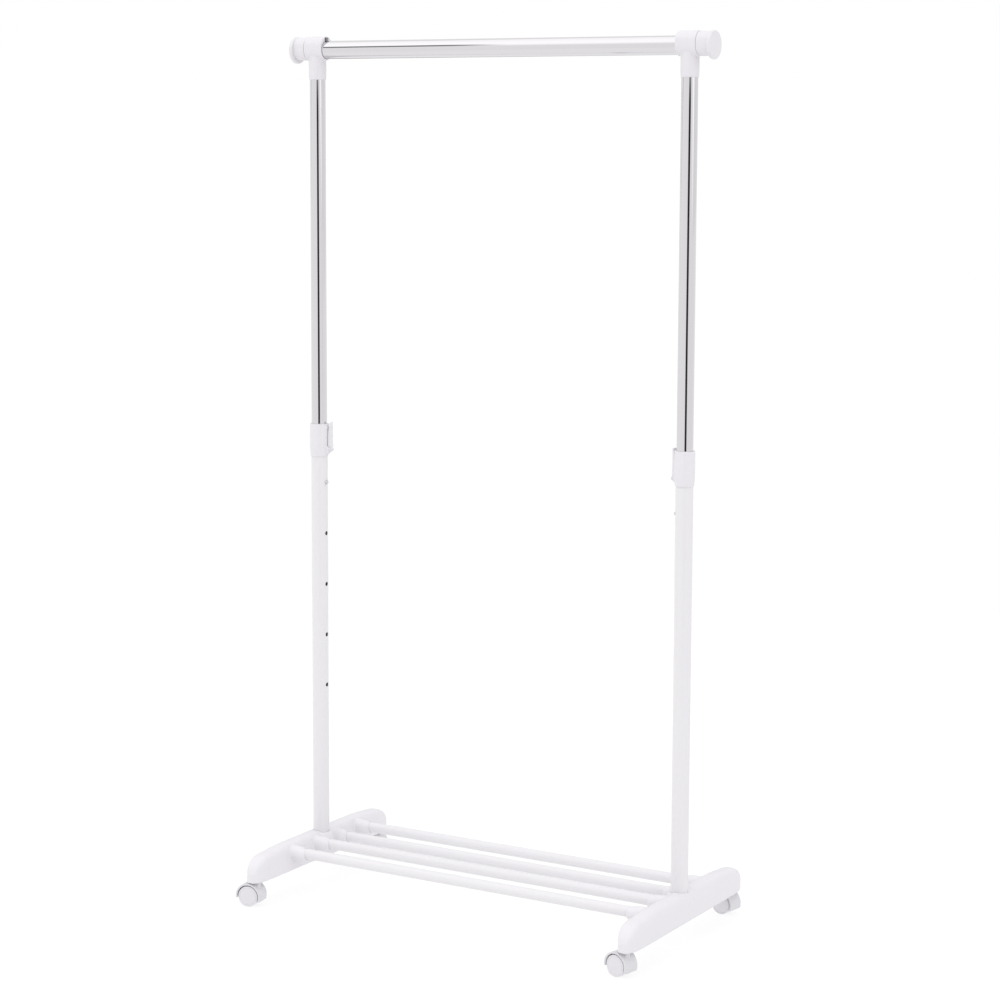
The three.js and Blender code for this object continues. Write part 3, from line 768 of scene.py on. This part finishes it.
def light_studio():
    """White studio, brighter overhead, with dark flags that only gloss and metal mirror."""
    world = bpy.data.worlds.new("studio")
    bpy.context.scene.world = world
    world.use_nodes = True
    nodes, links = world.node_tree.nodes, world.node_tree.links
    background = nodes["Background"]

    def calc(operation, a, b=0.0):
        node = nodes.new("ShaderNodeMath")
        node.operation = operation
        for socket, value in zip(node.inputs, (a, b)):
            if isinstance(value, (int, float)):
                socket.default_value = value
            else:
                links.new(value, socket)
        return node.outputs[0]

    def times(a, b):
        return calc("MULTIPLY", a, b)

    def ramp(value, span, levels=(0.0, 1.0)):
        node = nodes.new("ShaderNodeMapRange")
        node.interpolation_type = "SMOOTHSTEP"
        links.new(value, node.inputs["Value"])
        keys = ("From Min", "From Max", "To Min", "To Max")
        for key, level in zip(keys, (*span, *levels)):
            node.inputs[key].default_value = level
        return node.outputs["Result"]

    def radians(pair):
        return [math.radians(degrees) for degrees in pair]

    way = nodes.new("ShaderNodeTexCoord")
    split = nodes.new("ShaderNodeSeparateXYZ")
    links.new(way.outputs["Generated"], split.inputs[0])
    x, y, z = split.outputs
    rise = calc("ARCTAN2", z, times(y, -1.0))

    front = ramp(rise, radians(FRONT_RISE), FRONT_LIGHT)
    top = ramp(rise, radians(TOP_RISE), TOP_LIGHT)
    back = ramp(rise, radians(BACK_RISE), BACK_LIGHT)
    light = times(times(front, times(top, back)), calc("SUBTRACT", 1.0, times(x, SIDE_FALL)))

    level = calc("SQRT", calc("ADD", times(x, x), times(y, y)))
    heading = math.radians(STRIP_HEADING)
    ahead = calc("ADD", times(x, math.sin(heading)), times(y, -math.cos(heading)))
    along = calc("DIVIDE", ahead, level)
    height = times(ramp(z, STRIP_FOOT), ramp(z, STRIP_HEAD))
    near = times(ramp(along, [math.cos(a) for a in radians(NEAR_HALF)]), height)
    far = times(ramp(along, [-math.cos(a) for a in radians(FAR_HALF)]), height)
    off = calc("ABSOLUTE", calc("SUBTRACT", rise, math.radians(FLAG_RISE)))
    flag = times(ramp(off, radians(FLAG_HALF)), ramp(x, FLAG_SIDE))
    dark = calc("ADD", times(near, NEAR_DARK), times(flag, FLAG_DARK))
    dark = calc("ADD", dark, times(far, FAR_DARK))

    path = nodes.new("ShaderNodeLightPath")
    shade = times(calc("MINIMUM", dark, 1.0), path.outputs["Is Glossy Ray"])
    lit = times(light, calc("SUBTRACT", 1.0, shade))
    seen = calc("MAXIMUM", lit, path.outputs["Is Camera Ray"])
    links.new(seen, background.inputs["Strength"])
    background.inputs["Color"].default_value = (1, 1, 1, 1)


light_studio()

# ---- camera ----------------------------------------------------------------------------------
CAMERA = Vector((2.29, -3.8518, 1.4069))  # metres
YAW, PITCH, ROLL = 0.5342, 0.1264, 0.0039  # radians
LENS, SENSOR = 92.03, 36  # millimetres
SHIFT_Y = -0.05  # share of the picture


def place_camera():
    look = Vector((-math.sin(YAW) * math.cos(PITCH), math.cos(YAW) * math.cos(PITCH),
                   -math.sin(PITCH)))
    level = Vector((math.cos(YAW), math.sin(YAW), 0))
    upright = level.cross(look)
    right = level * math.cos(ROLL) + upright * math.sin(ROLL)
    up = upright * math.cos(ROLL) - level * math.sin(ROLL)
    camera = bpy.data.objects.new("camera", bpy.data.cameras.new("camera"))
    bpy.context.scene.collection.objects.link(camera)
    camera.matrix_world = Matrix((
        (right.x, up.x, -look.x, CAMERA.x),
        (right.y, up.y, -look.y, CAMERA.y),
        (right.z, up.z, -look.z, CAMERA.z),
        (0, 0, 0, 1)))
    camera.data.sensor_width = SENSOR
    camera.data.lens = LENS
    camera.data.shift_y = SHIFT_Y
    camera.data.clip_start = 0.05
    camera.data.clip_end = 100
    bpy.context.scene.camera = camera
    bpy.context.scene.view_settings.view_transform = "Standard"


place_camera()
